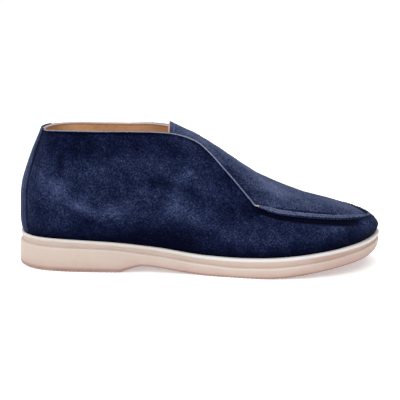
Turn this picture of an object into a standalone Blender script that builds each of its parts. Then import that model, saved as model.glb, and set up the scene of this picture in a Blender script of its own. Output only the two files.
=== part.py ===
# A high-cut suede loafer for the right foot, standing empty on its sole.
# +X is towards the toe, +Y towards the inner side of the foot, +Z up. Metres.

from collections import namedtuple

import bmesh
import bpy
import numpy as np

MM = 0.001

# driving sizes
LENGTH = 292 * MM          # outsole, heel to toe
BALL_WIDTH = 96.5 * MM     # outsole, at the ball of the foot
HEEL_HEIGHT = 26 * MM      # sole's lip above the floor at the heel
CREST_HEIGHT = 114 * MM    # top of the tongue above the floor
COLLAR_HEIGHT = 111 * MM   # collar above the floor

# thicknesses and clearances
WALL = 2.4 * MM            # suede and lining together
APRON_WALL = 2.2 * MM
STAY_WALL = 1.2 * MM
GAP = 0.35 * MM            # between two pieces that touch
CUP_DEPTH = 5 * MM         # from the sole's lip down to the floor inside
INSOLE_THICKNESS = 4 * MM
CUP_INSET = 4.2 * MM       # inner face of the sole's lip, in from the outline
FEATHER_INSET = CUP_INSET + GAP
INSOLE_INSET = FEATHER_INSET + WALL + GAP
BELLY_INSET = 3 * MM       # widest line of the upper, in from the outline

# wings of the quarters, over the tongue
WING_LIFT = WALL + 0.7 * MM   # how far they stand off the last
WING_OVERLAP = 13 * MM     # how far down the tongue reaches behind their edge
WING_FADE = 28 * MM        # below the tongue's edge the lift dies away over this height
WING_START = 36 * MM       # the lift begins this far behind the tongue's top
WING_TAPER = 24 * MM       # the overlap dies away over this length up to the throat
WING_END = 18 * MM         # the lift has died away this far ahead of the throat

STAY_TURN = 0.34           # half the back stay's width, as a turn round the outline

# facets: steps of x along the waist, columns in a quarter of the heel or toe, rows up each piece
COLUMN_STEP = 6.6 * MM
FAN_COLUMNS = 8
WALL_ROWS = 10
APRON_ROWS = 9
STAY_COLUMNS = 14

# where things stand along the foot, in fractions of the length from the heel
HEEL_CENTRE = 0.17         # behind it the sections fan round the heel
TONGUE_TOP = 0.418
THROAT = 0.645             # here the wings end and the apron seam begins
TOE_CENTRE = 0.85          # ahead of it the sections fan round the toe

# outline of the outsole: fraction of the length, then outer and inner edge in ball widths
Outline = namedtuple("Outline", "along outer inner")
OUTLINE = (
    Outline(0.00, 0.012, 0.012),
    Outline(0.02, -0.170, 0.205),
    Outline(0.06, -0.282, 0.312),
    Outline(0.11, -0.332, 0.358),
    Outline(0.18, -0.355, 0.375),
    Outline(0.26, -0.360, 0.365),
    Outline(0.36, -0.362, 0.330),
    Outline(0.45, -0.381, 0.313),
    Outline(0.53, -0.425, 0.342),
    Outline(0.62, -0.474, 0.411),
    Outline(0.69, -0.500, 0.468),
    Outline(0.76, -0.493, 0.500),
    Outline(0.83, -0.455, 0.476),
    Outline(0.90, -0.375, 0.396),
    Outline(0.95, -0.272, 0.300),
    Outline(0.98, -0.163, 0.203),
    Outline(1.00, 0.022, 0.022),
)

# underside of the sole, in heel heights: heel block, breast, arch, flat tread, toe spring
Under = namedtuple("Under", "along height")
UNDER = (
    Under(0.00, 0.0),
    Under(0.285, 0.0),
    Under(0.31, 0.09),
    Under(0.35, 0.20),
    Under(0.39, 0.16),
    Under(0.46, 0.05),
    Under(0.53, 0.0),
    Under(0.65, 0.0),
    Under(0.71, 0.025),
    Under(0.76, 0.09),
    Under(0.82, 0.185),
    Under(0.88, 0.285),
    Under(0.93, 0.37),
    Under(0.97, 0.475),
    Under(1.00, 0.58),
)

# side of the sole: height of its lip in heel heights, drop from there to the groove, and how far the
# lip and the foot of the side stand in from the outline
Lip = namedtuple("Lip", "along height groove lip_inset foot_inset")
LIP = (
    Lip(0.00, 1.010, 6.8 * MM, 2.2 * MM, 1.2 * MM),
    Lip(0.13, 0.985, 6.55 * MM, 1.6 * MM, 1.1 * MM),
    Lip(0.26, 0.918, 5.7 * MM, 1.0 * MM, 1.0 * MM),
    Lip(0.38, 0.785, 6.55 * MM, 0.8 * MM, 0.9 * MM),
    Lip(0.51, 0.605, 6.8 * MM, 0.8 * MM, 0.5 * MM),
    Lip(0.59, 0.582, 7.6 * MM, 0.8 * MM, 0.4 * MM),
    Lip(0.70, 0.630, 7.5 * MM, 0.8 * MM, 0.8 * MM),
    Lip(0.82, 0.765, 6.95 * MM, 0.8 * MM, 2.0 * MM),
    Lip(0.92, 0.920, 5.65 * MM, 0.8 * MM, 3.4 * MM),
    Lip(1.00, 1.080, 5.0 * MM, 1.8 * MM, 5.0 * MM),
)

# sections of the last: ridge in crest heights, power of the arch from side to side, height of the
# widest line above the lip, and where the ridge lies across the foot, in ball widths
Section = namedtuple("Section", "along ridge power belly spine")
SECTIONS = (
    Section(0.17, 1.375, 2.6, 12.0 * MM, 0.010),
    Section(0.418, 0.998, 2.6, 11.0 * MM, 0.000),
    Section(0.486, 0.912, 2.5, 11.0 * MM, 0.003),
    Section(0.531, 0.846, 2.4, 10.5 * MM, 0.006),
    Section(0.575, 0.781, 2.3, 10.0 * MM, 0.010),
    Section(0.62, 0.693, 2.2, 10.0 * MM, 0.016),
    Section(0.664, 0.630, 2.2, 9.5 * MM, 0.021),
    Section(0.705, 0.578, 2.2, 9.0 * MM, 0.026),
    Section(0.75, 0.530, 2.2, 8.5 * MM, 0.030),
    Section(0.795, 0.487, 2.2, 8.0 * MM, 0.030),
    Section(0.85, 0.453, 2.2, 7.0 * MM, 0.028),
    Section(1.00, 0.392, 1.9, 5.0 * MM, 0.026),
)

# back of the heel: height in collar heights, reach behind the heel centre against the widest line
Back = namedtuple("Back", "height reach")
BACK = (
    Back(0.340, 1.000),
    Back(0.43, 0.990),
    Back(0.50, 0.982),
    Back(0.58, 0.956),
    Back(0.645, 0.914),
    Back(0.71, 0.860),
    Back(0.775, 0.802),
    Back(0.835, 0.744),
    Back(0.89, 0.684),
    Back(0.945, 0.626),
    Back(1.01, 0.560),
    Back(1.10, 0.460),
)

# upper edge of the quarters and side wall, in collar heights: collar, wing, apron seam
Edge = namedtuple("Edge", "along height")
TOP_EDGE = (
    Edge(0.00, 0.994),
    Edge(0.17, 0.986),
    Edge(0.35, 0.980),
    Edge(0.418, 0.963),
    Edge(0.455, 0.938),
    Edge(0.49, 0.896),
    Edge(0.525, 0.819),
    Edge(0.565, 0.705),
    Edge(0.60, 0.602),
    Edge(0.63, 0.524),
    Edge(0.644, 0.490),
    Edge(0.655, 0.482),
    Edge(0.69, 0.462),
    Edge(0.74, 0.4395),
    Edge(0.82, 0.411),
    Edge(0.91, 0.385),
    Edge(1.00, 0.348),
)

# side of the sole from the lip's inner face round to the tread: shares of the lip's and the foot's own
# inset, further inset, the height it is measured from, and the rise above that height
Side = namedtuple("Side", "lip_share foot_share inset level rise")
SIDE = (
    Side(0, 0, CUP_INSET, "lip", -CUP_DEPTH),
    Side(0, 0, CUP_INSET, "lip", 0),
    Side(1, 0, 0.6 * MM, "lip", 0),
    Side(1, 0, 0, "lip", -0.7 * MM),
    Side(1, 0, 1.1 * MM, "band", 0),
    Side(1, 0, 0.7 * MM, "groove", 0.6 * MM),
    Side(1, 0, 1.5 * MM, "groove", 0),
    Side(0.5, 0, 0.3 * MM, "groove", -0.9 * MM),
    Side(0, 0, 0, "body", 0),
    Side(0, 0.35, 0, "under", 1.8 * MM),
    Side(0, 1, 0.8 * MM, "under", 0),
)


def curve(knots, values):
    # a smooth curve through the knots that never overshoots them
    knots = np.array(knots, float)
    values = np.array(values, float)
    gaps = np.diff(knots)
    slopes = np.diff(values) / gaps
    tangents = np.zeros(len(knots))
    tangents[0] = slopes[0]
    tangents[-1] = slopes[-1]
    for i in range(1, len(slopes)):
        if slopes[i - 1] * slopes[i] > 0:
            tangents[i] = 2 / (1 / slopes[i - 1] + 1 / slopes[i])

    def at(x):
        x = np.clip(x, knots[0], knots[-1])
        i = np.clip(np.searchsorted(knots, x) - 1, 0, len(gaps) - 1)
        t = (x - knots[i]) / gaps[i]
        start = (1 + 2 * t) * (1 - t) ** 2 * values[i] + t * (1 - t) ** 2 * gaps[i] * tangents[i]
        end = t * t * (3 - 2 * t) * values[i + 1] - t * t * (1 - t) * gaps[i] * tangents[i + 1]
        return start + end

    return at


def place(along):
    # x of a fraction of the length
    return (along - 0.5) * LENGTH


def column(table, name, scale=1.0):
    # one named column of a table as a smooth curve over x
    return curve([place(row.along) for row in table], [getattr(row, name) * scale for row in table])


def turn_at(x):
    # the turn round the outline, 0 at the heel and pi at the toe, of a place x on the outer side
    return np.arccos(np.clip(-2 * x / LENGTH, -1, 1))


outline_turns = [turn_at(place(row.along)) for row in OUTLINE]
outer_edge = curve(outline_turns, [row.outer * BALL_WIDTH for row in OUTLINE])
inner_edge = curve(outline_turns, [row.inner * BALL_WIDTH for row in OUTLINE])
underside = column(UNDER, "height", HEEL_HEIGHT)
lip_height = column(LIP, "height", HEEL_HEIGHT)
groove_drop = column(LIP, "groove")
lip_inset = column(LIP, "lip_inset")
foot_inset = column(LIP, "foot_inset")
ridge_height = column(SECTIONS, "ridge", CREST_HEIGHT)
arch_power = column(SECTIONS, "power")
belly_rise = column(SECTIONS, "belly")
spine_y = column(SECTIONS, "spine", BALL_WIDTH)
top_edge = column(TOP_EDGE, "height", COLLAR_HEIGHT)
back_reach = curve([row.height * COLLAR_HEIGHT for row in BACK], [row.reach for row in BACK])


def ramp(x, start, end):
    # 0 before start, 1 after end, smooth between them
    t = np.clip((x - start) / (end - start), 0, 1)
    return t * t * (3 - 2 * t)


def outline(turn):
    # x and y of the sole's outline, for a turn round it
    turn = np.mod(turn, 2 * np.pi)
    half_turn = np.minimum(turn, 2 * np.pi - turn)
    x = -LENGTH / 2 * np.cos(half_turn)
    y = np.where(turn > np.pi, inner_edge(half_turn), outer_edge(half_turn))
    return x, y


def plan(turn):
    # spine point and the way out from it to the outline
    x, y = outline(turn)
    centre_x = np.clip(x, place(HEEL_CENTRE), place(TOE_CENTRE))
    centre_y = spine_y(centre_x)
    return centre_x, centre_y, x - centre_x, y - centre_y


def kept(turn, inset):
    # the share of the way out that is left when the outline moves in by the inset, square to itself
    _, _, out_x, out_y = plan(turn)
    ahead_x, ahead_y = outline(turn + 1e-3)
    behind_x, behind_y = outline(turn - 1e-3)
    along_x = ahead_x - behind_x
    along_y = ahead_y - behind_y
    return 1 - inset * np.hypot(along_x, along_y) / np.abs(out_x * along_y - out_y * along_x)


def inset_edge(turn, inset):
    # x and y of the outline moved in
    centre_x, centre_y, out_x, out_y = plan(turn)
    share = kept(turn, inset)
    return centre_x + share * out_x, centre_y + share * out_y


def last(turn, rise):
    # a point of the last: rise 1 at the ridge, 0 at the widest line, -1 at the sole's lip, less inside it
    centre_x, centre_y, out_x, out_y = plan(turn)
    up = np.clip(rise, 0, 1) * np.pi / 2
    down = np.clip(-rise, 0, None)
    power = 2 / arch_power(centre_x + out_x)
    inset = BELLY_INSET + (FEATHER_INSET - BELLY_INSET) * np.minimum(down, 1) ** 2
    spread = np.clip(np.cos(up), 0, 1) ** power * kept(turn, inset)
    belly_x, _ = inset_edge(turn, BELLY_INSET)
    belly_z = lip_height(belly_x) + belly_rise(belly_x)
    x = centre_x + spread * out_x
    y = centre_y + spread * out_y
    z = belly_z + (ridge_height(x) - belly_z) * np.sin(up) ** power - down * belly_rise(belly_x)
    heel = (out_x < 0) & (rise > 0)
    heel_x = centre_x + (belly_x - centre_x) * back_reach(z)
    return np.stack([np.where(heel, heel_x, x), y, z], axis=-1)


def off_last(turn, rise, distance):
    # a point that stands the distance off the last, along its normal
    turn, rise, distance = np.broadcast_arrays(turn, rise, distance)
    step = 1e-3
    around = last(turn + step, rise) - last(turn - step, rise)
    upward = last(turn, np.minimum(rise + step, 1)) - last(turn, np.minimum(rise, 1 - step) - step)
    normal = np.cross(around, upward)
    on_ridge = rise > 1 - step
    centre_x = plan(turn)[0]
    slope = (ridge_height(centre_x + step) - ridge_height(centre_x - step)) / (2 * step)
    ridge_normal = np.stack([-slope, np.zeros_like(slope), np.ones_like(slope)], axis=-1)
    normal = np.where(on_ridge[..., None], ridge_normal, normal)
    normal /= np.linalg.norm(normal, axis=-1, keepdims=True)
    return last(turn, rise) + normal * distance[..., None]


def rise_at(turn, height):
    # the rise at which the last reaches height(x), found by halving
    low = np.zeros_like(turn)
    high = np.ones_like(turn)
    for _ in range(40):
        middle = (low + high) / 2
        point = last(turn, middle)
        below = point[..., 2] < height(point[..., 0])
        low = np.where(below, middle, low)
        high = np.where(below, high, middle)
    return (low + high) / 2


def tongue_edge(x):
    # height of the apron's edge: just over the seam, and behind the wings well under their edge
    throat = place(THROAT)
    overlap = WING_OVERLAP * (1 - ramp(x, throat - WING_TAPER, throat + 3 * MM))
    return top_edge(x) - overlap + GAP


def wing_lift(turn, rise):
    # how far the wall stands off the last: only where the tongue lies under a wing
    point = last(turn, rise)
    x = point[..., 0]
    tongue_top = place(TONGUE_TOP)
    throat = place(THROAT)
    lengthways = ramp(x, tongue_top - WING_START, tongue_top - 4 * MM)
    lengthways *= 1 - ramp(x, throat + 4 * MM, throat + WING_END)
    full = tongue_edge(x) - 1.5 * MM
    return WING_LIFT * lengthways * ramp(point[..., 2], full - WING_FADE, full)


def turns_between(marks, counts):
    # turns on the outer side at even steps of x between the marks
    turns = []
    for start, end, count in zip(marks, marks[1:], counts):
        x = place(start) + (place(end) - place(start)) * np.arange(count) / count
        turns.extend(turn_at(x))
    return turns


def turns_around():
    # turns all the way round: even angles in both fans, even steps of x between them
    heel = turn_at(place(HEEL_CENTRE))
    toe = turn_at(place(TOE_CENTRE))
    marks = (HEEL_CENTRE, TONGUE_TOP, THROAT, TOE_CENTRE)
    counts = [round((b - a) * LENGTH / COLUMN_STEP) for a, b in zip(marks, marks[1:])]
    side = list(np.linspace(0, heel, FAN_COLUMNS + 1)[:-1])
    side += turns_between(marks, counts)
    side += list(np.linspace(toe, np.pi, FAN_COLUMNS + 1))
    return np.array(side + [2 * np.pi - turn for turn in side[-2:0:-1]])


def make_material(name, color, roughness):
    material = bpy.data.materials.new(name)
    material.use_nodes = True
    shader = material.node_tree.nodes["Principled BSDF"]
    shader.inputs["Base Color"].default_value = (*color, 1)
    shader.inputs["Roughness"].default_value = roughness
    shader.inputs["Metallic"].default_value = 0
    return material


def loft(name, sections, material, around=False, ring=False):
    # joins each section to the next; around closes the row of sections, ring closes each section,
    # and sections that are neither closed meet their mirror ones on the spine
    count = len(sections[0])
    shape = bmesh.new()
    rows = [[shape.verts.new(point) for point in section] for section in sections]
    pairs = list(zip(rows, rows[1:] + rows[:1])) if around else list(zip(rows, rows[1:]))
    for row, following in pairs:
        for i in range(count if ring else count - 1):
            j = (i + 1) % count
            shape.faces.new((row[i], row[j], following[j], following[i]))
    if ring and not around:
        shape.faces.new(rows[0])
        shape.faces.new(rows[-1])
    if not ring and not around:
        for end in (rows[0], rows[-1]):
            for i in range(count // 2 - 1):
                shape.faces.new((end[i], end[i + 1], end[count - 2 - i], end[count - 1 - i]))
    bmesh.ops.remove_doubles(shape, verts=shape.verts, dist=0.001 * MM)
    bmesh.ops.recalc_face_normals(shape, faces=shape.faces)
    mesh = bpy.data.meshes.new(name)
    shape.to_mesh(mesh)
    shape.free()
    mesh.shade_smooth()
    mesh.set_sharp_from_angle(angle=np.radians(40))
    mesh.materials.append(material)
    piece = bpy.data.objects.new(name, mesh)
    loafer.objects.link(piece)
    return piece


def cup_floor(turn, height):
    # the floor of the cup from the spine out to the insole's edge, raised by the height
    centre_x, centre_y, out_x, out_y = plan(turn)
    edge_x, edge_y = inset_edge(turn, INSOLE_INSET)
    points = []
    for part in (0, 0.5, 1):
        x = centre_x + (edge_x - centre_x) * part
        y = centre_y + (edge_y - centre_y) * part
        points.append((x, y, lip_height(x) - CUP_DEPTH + height))
    return points


def make_outsole():
    sections = []
    for turn in turns_around():
        edge_x, _ = inset_edge(turn, BELLY_INSET)
        lip = lip_height(edge_x)
        groove = lip - groove_drop(edge_x)
        under = underside(edge_x)
        levels = {"lip": lip, "band": (lip + groove) / 2, "groove": groove,
                  "body": (groove + under) / 2, "under": under}
        side = []
        for row in SIDE:
            inset = row.lip_share * lip_inset(edge_x) + row.foot_share * foot_inset(edge_x) + row.inset
            side.append((*inset_edge(turn, inset), levels[row.level] + row.rise))
        centre_x, centre_y, _, _ = plan(turn)
        under_centre = (centre_x, centre_y, underside(centre_x))
        sections.append([*cup_floor(turn, 0), *side, under_centre])
    return loft("outsole", sections, make_material("rubber", (0.70, 0.57, 0.48), 0.5), around=True)


def make_insole():
    sections = []
    for turn in turns_around():
        top = cup_floor(turn, GAP + INSOLE_THICKNESS)
        sections.append([*top, *cup_floor(turn, GAP)[::-1]])
    return loft("insole", sections, make_material("sock", (0.42, 0.24, 0.12), 0.6), around=True)


def make_upper():
    turns = turns_around()
    top = rise_at(turns, top_edge)
    sections = []
    for turn, top_rise in zip(turns, top):
        belly_x, _ = inset_edge(turn, BELLY_INSET)
        foot = -1 - (CUP_DEPTH - GAP) / belly_rise(belly_x)
        rises = np.concatenate([[foot, -1, -0.5], np.linspace(0, top_rise, WALL_ROWS + 1)])
        lift = wing_lift(turn, rises)
        outside = off_last(turn, rises, lift)
        inside = off_last(turn, rises, lift - WALL)
        sections.append([*outside, *inside[::-1]])
    material = make_material("suede", (0.020, 0.030, 0.085), 0.95)
    return loft("upper", sections, material, around=True, ring=True)


def make_apron_tongue():
    turns = turns_around()
    turns = turns[plan(turns)[0] > place(TONGUE_TOP) - 1e-6]
    edge = rise_at(turns, tongue_edge)
    sections = []
    for turn, edge_rise in zip(turns, edge):
        rises = np.linspace(1, edge_rise, APRON_ROWS + 1)
        outside = off_last(turn, rises, 0.0)
        inside = off_last(turn, rises, -APRON_WALL)
        sections.append([*outside, *inside[::-1]])
    material = make_material("apron_suede", (0.045, 0.060, 0.140), 0.95)
    return loft("apron_tongue", sections, material)


def make_back_stay():
    sections = []
    turns = np.linspace(-STAY_TURN, STAY_TURN, STAY_COLUMNS + 1)
    for turn, top_rise in zip(turns, rise_at(turns, top_edge)):
        rises = np.concatenate([[-0.85, -0.45], np.linspace(0, top_rise, WALL_ROWS)])
        outside = off_last(turn, rises, GAP + STAY_WALL)
        inside = off_last(turn, rises, GAP)
        sections.append([*outside, *inside[::-1]])
    return loft("back_stay", sections, make_material("stay_suede", (0.025, 0.035, 0.095), 0.95), ring=True)


for thing in list(bpy.data.objects):
    bpy.data.objects.remove(thing, do_unlink=True)
loafer = bpy.data.collections.new("loafer")
bpy.context.scene.collection.children.link(loafer)

make_outsole()
make_insole()
make_upper()
make_apron_tongue()
make_back_stay()
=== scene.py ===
# A high-cut suede loafer for the right foot, standing empty on its sole.
# +X is towards the toe, +Y towards the inner side of the foot, +Z up. Metres.
import bpy
import numpy as np
from mathutils import Matrix, Vector


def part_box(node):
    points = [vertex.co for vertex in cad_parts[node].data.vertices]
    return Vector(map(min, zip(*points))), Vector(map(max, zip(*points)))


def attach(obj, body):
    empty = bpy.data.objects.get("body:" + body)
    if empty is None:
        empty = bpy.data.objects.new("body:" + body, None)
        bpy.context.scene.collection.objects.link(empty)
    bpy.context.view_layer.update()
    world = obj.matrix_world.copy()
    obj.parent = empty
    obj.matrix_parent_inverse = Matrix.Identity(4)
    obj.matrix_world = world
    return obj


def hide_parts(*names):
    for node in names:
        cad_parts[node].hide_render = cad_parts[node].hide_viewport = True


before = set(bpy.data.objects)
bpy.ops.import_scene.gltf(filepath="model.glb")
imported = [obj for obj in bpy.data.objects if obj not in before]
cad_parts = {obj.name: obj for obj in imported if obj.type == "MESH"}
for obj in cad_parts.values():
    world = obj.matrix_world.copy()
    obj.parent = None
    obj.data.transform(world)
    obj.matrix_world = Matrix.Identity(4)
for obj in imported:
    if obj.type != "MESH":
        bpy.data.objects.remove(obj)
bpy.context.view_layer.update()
mm = 0.001
print("frame loaded")

# shape of the last, in the shoe's own proportions
soleLow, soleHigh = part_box("outsole")
shoe = {
    "length": soleHigh[0] - soleLow[0],
    "ballWidth": soleHigh[1] - soleLow[1],
    "heelHeight": 26 * mm,
    "crestHeight": 114 * mm,
    "collarHeight": 111 * mm,
    "heelCentre": 0.17, "tongueTop": 0.418, "throat": 0.645, "toeCentre": 0.85,   # shares of the length
    "wall": 2.4 * mm, "suede": 1.3 * mm, "gap": 0.35 * mm,
    "cupDepth": 5 * mm, "featherInset": 4.55 * mm, "insoleInset": 7.3 * mm, "bellyInset": 3 * mm,
    # share of the length, outer and inner edge of the sole in ball widths
    "outline": (
        (0, .012, .012), (.02, -.17, .205), (.06, -.282, .312), (.11, -.332, .358), (.18, -.355, .375),
        (.26, -.36, .365), (.36, -.362, .33), (.45, -.381, .313), (.53, -.425, .342), (.62, -.474, .411),
        (.69, -.5, .468), (.76, -.493, .5), (.83, -.455, .476), (.9, -.375, .396), (.95, -.272, .3),
        (.98, -.163, .203), (1, .022, .022)),
    # underside of the sole in heel heights: block, breast, arch, tread, toe spring
    "under": (
        (0, 0), (.285, 0), (.31, .09), (.35, .2), (.39, .16), (.46, .05), (.53, 0), (.65, 0), (.71, .025),
        (.76, .09), (.82, .185), (.88, .285), (.93, .37), (.97, .475), (1, .58)),
    # lip height in heel heights, drop to the groove, inset of the lip and of the foot (mm)
    "lip": (
        (0, 1.01, 6.8, 2.2, 1.2), (.13, .985, 6.55, 1.6, 1.1), (.26, .918, 5.7, 1, 1),
        (.38, .785, 6.55, .8, .9), (.51, .605, 6.8, .8, .5), (.59, .582, 7.6, .8, .4),
        (.7, .63, 7.5, .8, .8), (.82, .765, 6.95, .8, 2), (.92, .92, 5.65, .8, 3.4), (1, 1.08, 5, 1.4, 5)),
    # ridge in crest heights, power of the arch, belly above the lip (mm), spine in ball widths
    "sections": (
        (.17, 1.375, 2.6, 12, .01), (.418, .998, 2.6, 11, 0), (.486, .912, 2.5, 11, .003),
        (.531, .846, 2.4, 10.5, .006), (.575, .781, 2.3, 10, .01), (.62, .693, 2.2, 10, .016),
        (.664, .63, 2.2, 9.5, .021), (.705, .578, 2.2, 9, .026), (.75, .53, 2.2, 8.5, .03),
        (.795, .487, 2.2, 8, .03), (.85, .453, 2.2, 7, .028), (1, .392, 1.9, 5, .026)),
    # height in collar heights, reach behind the heel centre
    "back": (
        (.34, 1), (.43, .99), (.5, .982), (.58, .956), (.645, .914), (.71, .86), (.775, .802), (.835, .744),
        (.89, .684), (.945, .626), (1.01, .56), (1.1, .46)),
    # upper edge of quarters and side wall in collar heights
    "topEdge": (
        (0, .994), (.17, .986), (.35, .98), (.418, .963), (.455, .938), (.49, .896), (.525, .819),
        (.565, .705), (.6, .602), (.63, .524), (.644, .49), (.655, .482), (.69, .462), (.74, .4395),
        (.82, .411), (.91, .385), (1, .348)),
    "wingLift": 3.1 * mm, "wingOverlap": 13 * mm, "wingFade": 28 * mm, "wingStart": 36 * mm,
    "wingTaper": 24 * mm, "wingEnd": 18 * mm,
}
length = shoe["length"]


def curveThrough(knots, values):
    # a smooth curve through the knots that never overshoots them
    knots = np.array(knots, float)
    values = np.array(values, float)
    gaps = np.diff(knots)
    slopes = np.diff(values) / gaps
    tangents = np.zeros(len(knots))
    tangents[0], tangents[-1] = slopes[0], slopes[-1]
    for i in range(1, len(slopes)):
        if slopes[i - 1] * slopes[i] > 0:
            tangents[i] = 2 / (1 / slopes[i - 1] + 1 / slopes[i])

    def at(x):
        x = np.clip(x, knots[0], knots[-1])
        i = np.clip(np.searchsorted(knots, x) - 1, 0, len(gaps) - 1)
        t = (x - knots[i]) / gaps[i]
        start = (1 + 2 * t) * (1 - t) ** 2 * values[i] + t * (1 - t) ** 2 * gaps[i] * tangents[i]
        end = t * t * (3 - 2 * t) * values[i + 1] - t * t * (1 - t) * gaps[i] * tangents[i + 1]
        return start + end

    return at


def placeAt(share):
    return (share - 0.5) * length


def curves(table, *scales):
    # a curve along the shoe for each column of a table
    shares, *columns = np.transpose(shoe[table])
    return [curveThrough(placeAt(shares), values * scale) for values, scale in zip(columns, scales)]


def turnAt(x):
    # the turn round the outline, 0 at the heel and pi at the toe, of a place x on the outer side
    return np.arccos(np.clip(-2 * x / length, -1, 1))


outlineShares, *outlineSides = np.transpose(shoe["outline"])
outlineTurns = turnAt(placeAt(outlineShares))
outerEdge, innerEdge = (curveThrough(outlineTurns, side * shoe["ballWidth"]) for side in outlineSides)
underside, = curves("under", shoe["heelHeight"])
lipHeight, grooveDrop, lipInset, footInset = curves("lip", shoe["heelHeight"], mm, mm, mm)
ridgeHeight, archPower, bellyRise, spineY = curves("sections", shoe["crestHeight"], 1, mm, shoe["ballWidth"])
topEdge, = curves("topEdge", shoe["collarHeight"])
backHeights, backReaches = np.transpose(shoe["back"])
backReach = curveThrough(backHeights * shoe["collarHeight"], backReaches)
tongueTopX = placeAt(shoe["tongueTop"])
throatX = placeAt(shoe["throat"])


def ramp(x, start, end):
    t = np.clip((x - start) / (end - start), 0, 1)
    return t * t * (3 - 2 * t)


def outline(turn):
    turn = np.mod(turn, 2 * np.pi)
    half = np.minimum(turn, 2 * np.pi - turn)
    return -length / 2 * np.cos(half), np.where(turn > np.pi, innerEdge(half), outerEdge(half))


def plan(turn):
    # spine point and the way out from it to the outline
    x, y = outline(turn)
    centreX = np.clip(x, placeAt(shoe["heelCentre"]), placeAt(shoe["toeCentre"]))
    centreY = spineY(centreX)
    return centreX, centreY, x - centreX, y - centreY


def kept(turn, inset):
    # what is left of the way out when the outline moves in square to itself
    _, _, outX, outY = plan(turn)
    aheadX, aheadY = outline(turn + 1e-3)
    behindX, behindY = outline(turn - 1e-3)
    alongX, alongY = aheadX - behindX, aheadY - behindY
    return 1 - inset * np.hypot(alongX, alongY) / np.abs(outX * alongY - outY * alongX)


def insetEdge(turn, inset):
    centreX, centreY, outX, outY = plan(turn)
    share = kept(turn, inset)
    return centreX + share * outX, centreY + share * outY


def last(turn, rise):
    # rise is 1 at the ridge, 0 at the widest line, -1 at the sole's lip and less inside the cup
    centreX, centreY, outX, outY = plan(turn)
    up = np.clip(rise, 0, 1) * np.pi / 2
    down = np.clip(-rise, 0, None)
    power = 2 / archPower(centreX + outX)
    inset = shoe["bellyInset"] + (shoe["featherInset"] - shoe["bellyInset"]) * np.minimum(down, 1) ** 2
    spread = np.clip(np.cos(up), 0, 1) ** power * kept(turn, inset)
    bellyX, _ = insetEdge(turn, shoe["bellyInset"])
    bellyZ = lipHeight(bellyX) + bellyRise(bellyX)
    x = centreX + spread * outX
    z = bellyZ + (ridgeHeight(x) - bellyZ) * np.sin(up) ** power - down * bellyRise(bellyX)
    heel = (outX < 0) & (rise > 0)
    heelX = centreX + (bellyX - centreX) * backReach(z)
    return np.stack([np.where(heel, heelX, x), centreY + spread * outY, z], axis=-1)


def unit(vectors):
    return vectors / np.maximum(np.linalg.norm(vectors, axis=-1, keepdims=True), 1e-12)


def onLast(turn, rise):
    # point of the last, with the ways out of it and along its turn
    turn, rise = np.broadcast_arrays(np.asarray(turn, float), np.asarray(rise, float))
    step = 1e-3
    around = last(turn + step, rise) - last(turn - step, rise)
    upward = last(turn, np.minimum(rise + step, 1)) - last(turn, np.minimum(rise, 1 - step) - step)
    normal = np.cross(around, upward)
    centreX = plan(turn)[0]
    slope = (ridgeHeight(centreX + step) - ridgeHeight(centreX - step)) / (2 * step)
    ridgeNormal = np.stack([-slope, np.zeros_like(slope), np.ones_like(slope)], axis=-1)
    normal = unit(np.where((rise > 1 - step)[..., None], ridgeNormal, normal))
    return last(turn, rise), normal, unit(around)


# worn shape of the collar's edge (mm): outer side as x and height over the line, inner side as place, spread
# and height, then how far and from where to where it dips towards the back stay
wornRim = {
    "outer": (
        (-128, 0), (-118, .1), (-109, .6), (-85, .5), (-58, .5), (-44, -.1), (-31, -.6), (-20, -.85),
        (-9, -.95), (1, -.85), (9, -.4), (17, .4), (25, 1), (33, .8), (41, .6), (50, 0), (60, 0)),
    "inner": ((-44, 18, .8), (-98, 24, -.5)),
    "dip": .9, "dipSpan": (92, 128),
}
outerBend = curveThrough(*np.transpose(wornRim["outer"]))


def bySide(point, outer, inner):
    # one value on the outer side of the foot, the other on the inner side
    return np.where(point[..., 1] > spineY(point[..., 0]), inner, outer)


def rimBend(point):
    # how far the worn edge stands above its height line
    x = point[..., 0] / mm
    inner = sum(bend * np.exp(-((x - place) / spread) ** 2) for place, spread, bend in wornRim["inner"])
    return (bySide(point, outerBend(x), inner) - wornRim["dip"] * ramp(-x, *wornRim["dipSpan"])) * mm


def riseAt(turn, height):
    # the rise at which the last reaches a height line, found by halving
    low, high = np.zeros_like(turn), np.ones_like(turn)
    for _ in range(34):
        middle = (low + high) / 2
        point = last(turn, middle)
        below = point[..., 2] < height(point[..., 0]) + rimBend(point)
        low, high = np.where(below, middle, low), np.where(below, high, middle)
    return (low + high) / 2


def riseTable(height):
    # the rise of a height line all the way round, ready to be looked up
    turns = np.linspace(0, 2 * np.pi, 1601)
    rises = riseAt(turns, height)
    return lambda turn: np.interp(np.mod(turn, 2 * np.pi), turns, rises)


def overlapAt(x):
    # how far a wing covers the tongue
    return shoe["wingOverlap"] * (1 - ramp(x, throatX - shoe["wingTaper"], throatX + 3 * mm))


def wingLift(point):
    # how far the wall stands off the last where the tongue lies under a wing
    x, z = point[..., 0], point[..., 2]
    full = topEdge(x) - overlapAt(x) + shoe["gap"] - 1.5 * mm
    lengthways = ramp(x, tongueTopX - shoe["wingStart"], tongueTopX - 4 * mm)
    lengthways = lengthways * (1 - ramp(x, throatX + 4 * mm, throatX + shoe["wingEnd"]))
    return shoe["wingLift"] * lengthways * ramp(z, full - shoe["wingFade"], full)


# even steps along the outline's outer half, mirrored on the inner half
halfTurns = np.linspace(0, np.pi, 3001)
halfLengths = np.concatenate([[0], np.cumsum(np.hypot(*(np.diff(side) for side in outline(halfTurns))))])
halfLengths /= halfLengths[-1]


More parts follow.
